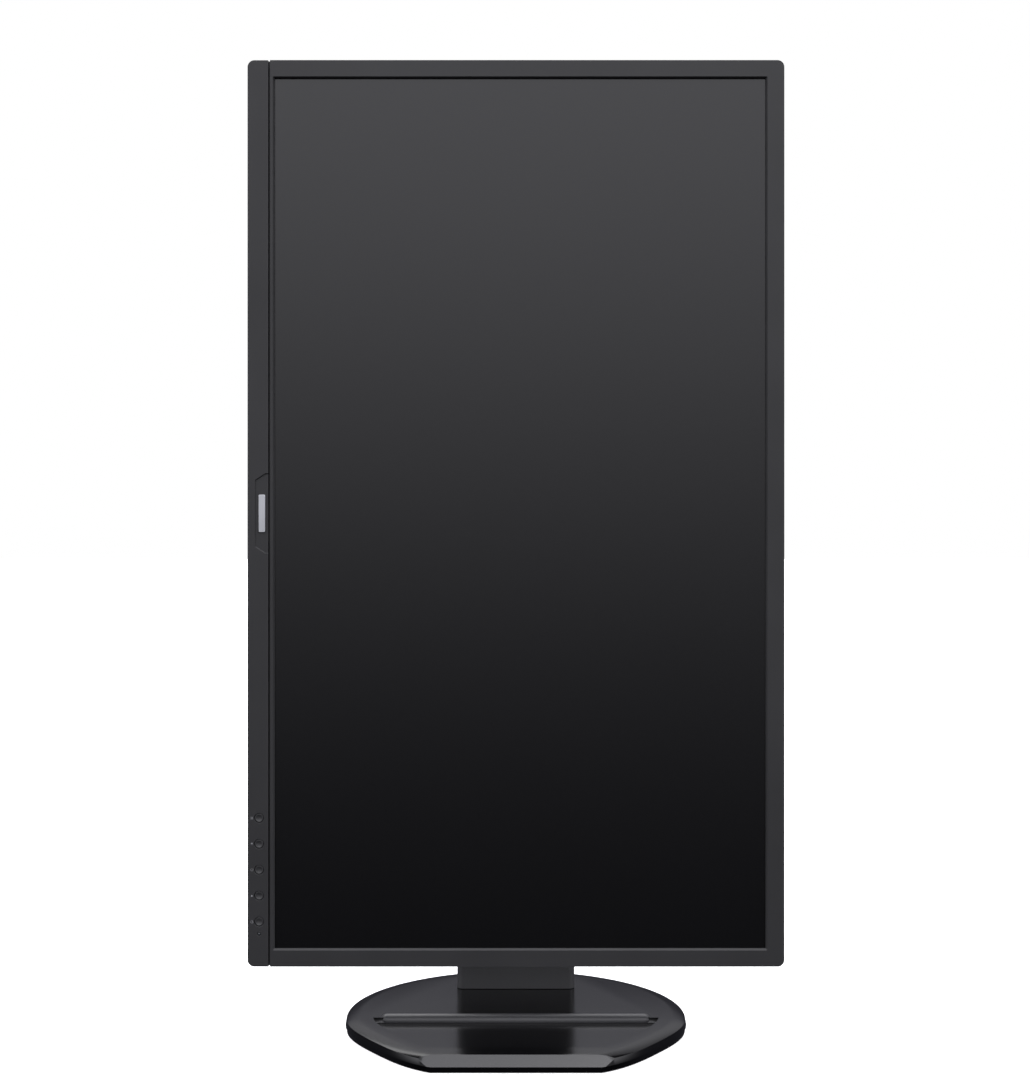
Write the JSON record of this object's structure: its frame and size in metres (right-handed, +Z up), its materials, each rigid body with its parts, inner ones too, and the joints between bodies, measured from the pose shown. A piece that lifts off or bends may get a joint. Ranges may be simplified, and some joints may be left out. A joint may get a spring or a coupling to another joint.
{
  "type": "computer monitor",
  "caption": "Wide flat monitor with its screen turned upright, on a round stand whose column lifts, tilts, pivots and swivels it.",
  "frame": {"origin": "on the desk surface, under the middle of the bounding box, which is also the middle of the base", "axes": "+Z up, the screen faces -Y, +X to the right of a person looking at the screen; the long side of the screen stands along Z"},
  "size_m": [0.3696, 0.2329, 0.6825],
  "materials": {
    "bezel_plastic": "fine satin texture, near-black",
    "screen_glass": "anti-glare, near-black when off",
    "badge_metal": "satin",
    "led_lens": "clear moulded",
    "stand_plastic": "semi-gloss, black",
    "steel": "zinc plated",
    "circuit_board": "solder mask",
    "port_metal": "nickel plated shells",
    "port_plastic": "moulded black",
    "film_plastic": "clear and diffusing sheets",
    "rubber": "matt",
    "nylon": "natural nylon"
  },
  "bodies": {
    "turntable": {"turntable_pad": "rubber", "turntable_disc": "steel", "turntable_bearing": "nylon", "swivel_pin": "steel"},
    "base": {"base_cover": "stand_plastic", "base_plate": "steel", "foot_screw_1": "steel", "foot_screw_2": "steel", "column_core": "steel", "guide_rod_left": "steel", "guide_rod_right": "steel", "lift_spring_strip": "steel", "column_front_cover": "stand_plastic", "column_rear_cover": "stand_plastic", "column_top_cap": "stand_plastic", "cable_clip": "stand_plastic"},
    "lift": {"carriage": "steel", "spring_axle": "steel", "lift_arm": "steel", "tilt_pin": "steel", "tilt_spring": "steel", "hinge_cover": "stand_plastic"},
    "spring_coil": {"lift_spring_roll": "steel"},
    "tilt": {"pivot_bracket": "steel", "pivot_washer": "nylon", "tilt_washer_left": "nylon", "tilt_washer_right": "nylon"},
    "head": {"front_bezel": "bezel_plastic", "trim_strip": "bezel_plastic", "badge_plate": "badge_metal", "power_led_lens": "led_lens", "key_board": "circuit_board", "lcd_cell": "screen_glass", "optical_films": "film_plastic", "light_guide": "film_plastic", "led_bar": "circuit_board", "panel_chassis": "steel", "panel_frame": "bezel_plastic", "chassis_bracket": "steel", "main_board": "circuit_board", "power_board": "circuit_board", "speaker_left": "port_plastic", "speaker_right": "port_plastic", "ac_inlet": "port_plastic", "hdmi_port": "port_metal", "display_port": "port_metal", "vga_port": "port_metal", "rear_cover": "bezel_plastic", "vesa_plate": "steel", "vesa_screw_1": "steel", "vesa_screw_2": "steel", "vesa_screw_3": "steel", "vesa_screw_4": "steel", "pivot_hub": "steel", "pivot_nut": "steel"},
    "button_menu": {"button_menu": "bezel_plastic"},
    "button_volume": {"button_volume": "bezel_plastic"},
    "button_input": {"button_input": "bezel_plastic"},
    "button_scene": {"button_scene": "bezel_plastic"},
    "button_power": {"button_power": "bezel_plastic"}
  },
  "joints": [
    {"name": "swivel", "type": "hinge", "parent": "turntable", "child": "base", "pos_m": [0, -0.0072, 0.003], "axis": [0, 0, 1], "range_deg": [-65, 65]},
    {"name": "height", "type": "slide", "parent": "base", "child": "lift", "axis": [0, 0, 1], "range_m": [-0.036, 0.094], "deforming": ["lift_spring_strip"]},
    {"name": "spring_coil_turn", "type": "hinge", "parent": "lift", "child": "spring_coil", "pos_m": [0, 0.073, 0.3165], "axis": [-1, 0, 0], "range_deg": [-180, 470]},
    {"name": "tilt", "type": "hinge", "parent": "lift", "child": "tilt", "pos_m": [0, 0.015, 0.3705], "axis": [-1, 0, 0], "range_deg": [-5, 20]},
    {"name": "pivot", "type": "hinge", "parent": "tilt", "child": "head", "pos_m": [0, -0.02, 0.3705], "axis": [0, -1, 0], "range_deg": [0, 90]},
    {"name": "press_menu", "type": "slide", "parent": "head", "child": "button_menu", "axis": [0, 1, 0], "range_m": [0, 0.0008], "stiffness_N_per_m": 500},
    {"name": "press_volume", "type": "slide", "parent": "head", "child": "button_volume", "axis": [0, 1, 0], "range_m": [0, 0.0008], "stiffness_N_per_m": 500},
    {"name": "press_input", "type": "slide", "parent": "head", "child": "button_input", "axis": [0, 1, 0], "range_m": [0, 0.0008], "stiffness_N_per_m": 500},
    {"name": "press_scene", "type": "slide", "parent": "head", "child": "button_scene", "axis": [0, 1, 0], "range_m": [0, 0.0008], "stiffness_N_per_m": 500},
    {"name": "press_power", "type": "slide", "parent": "head", "child": "button_power", "axis": [0, 1, 0], "range_m": [0, 0.0008], "stiffness_N_per_m": 500}
  ],
  "couplings": [
    {"joint": "spring_coil_turn", "follows": "height", "rad_per_m": 86.957}
  ]
}
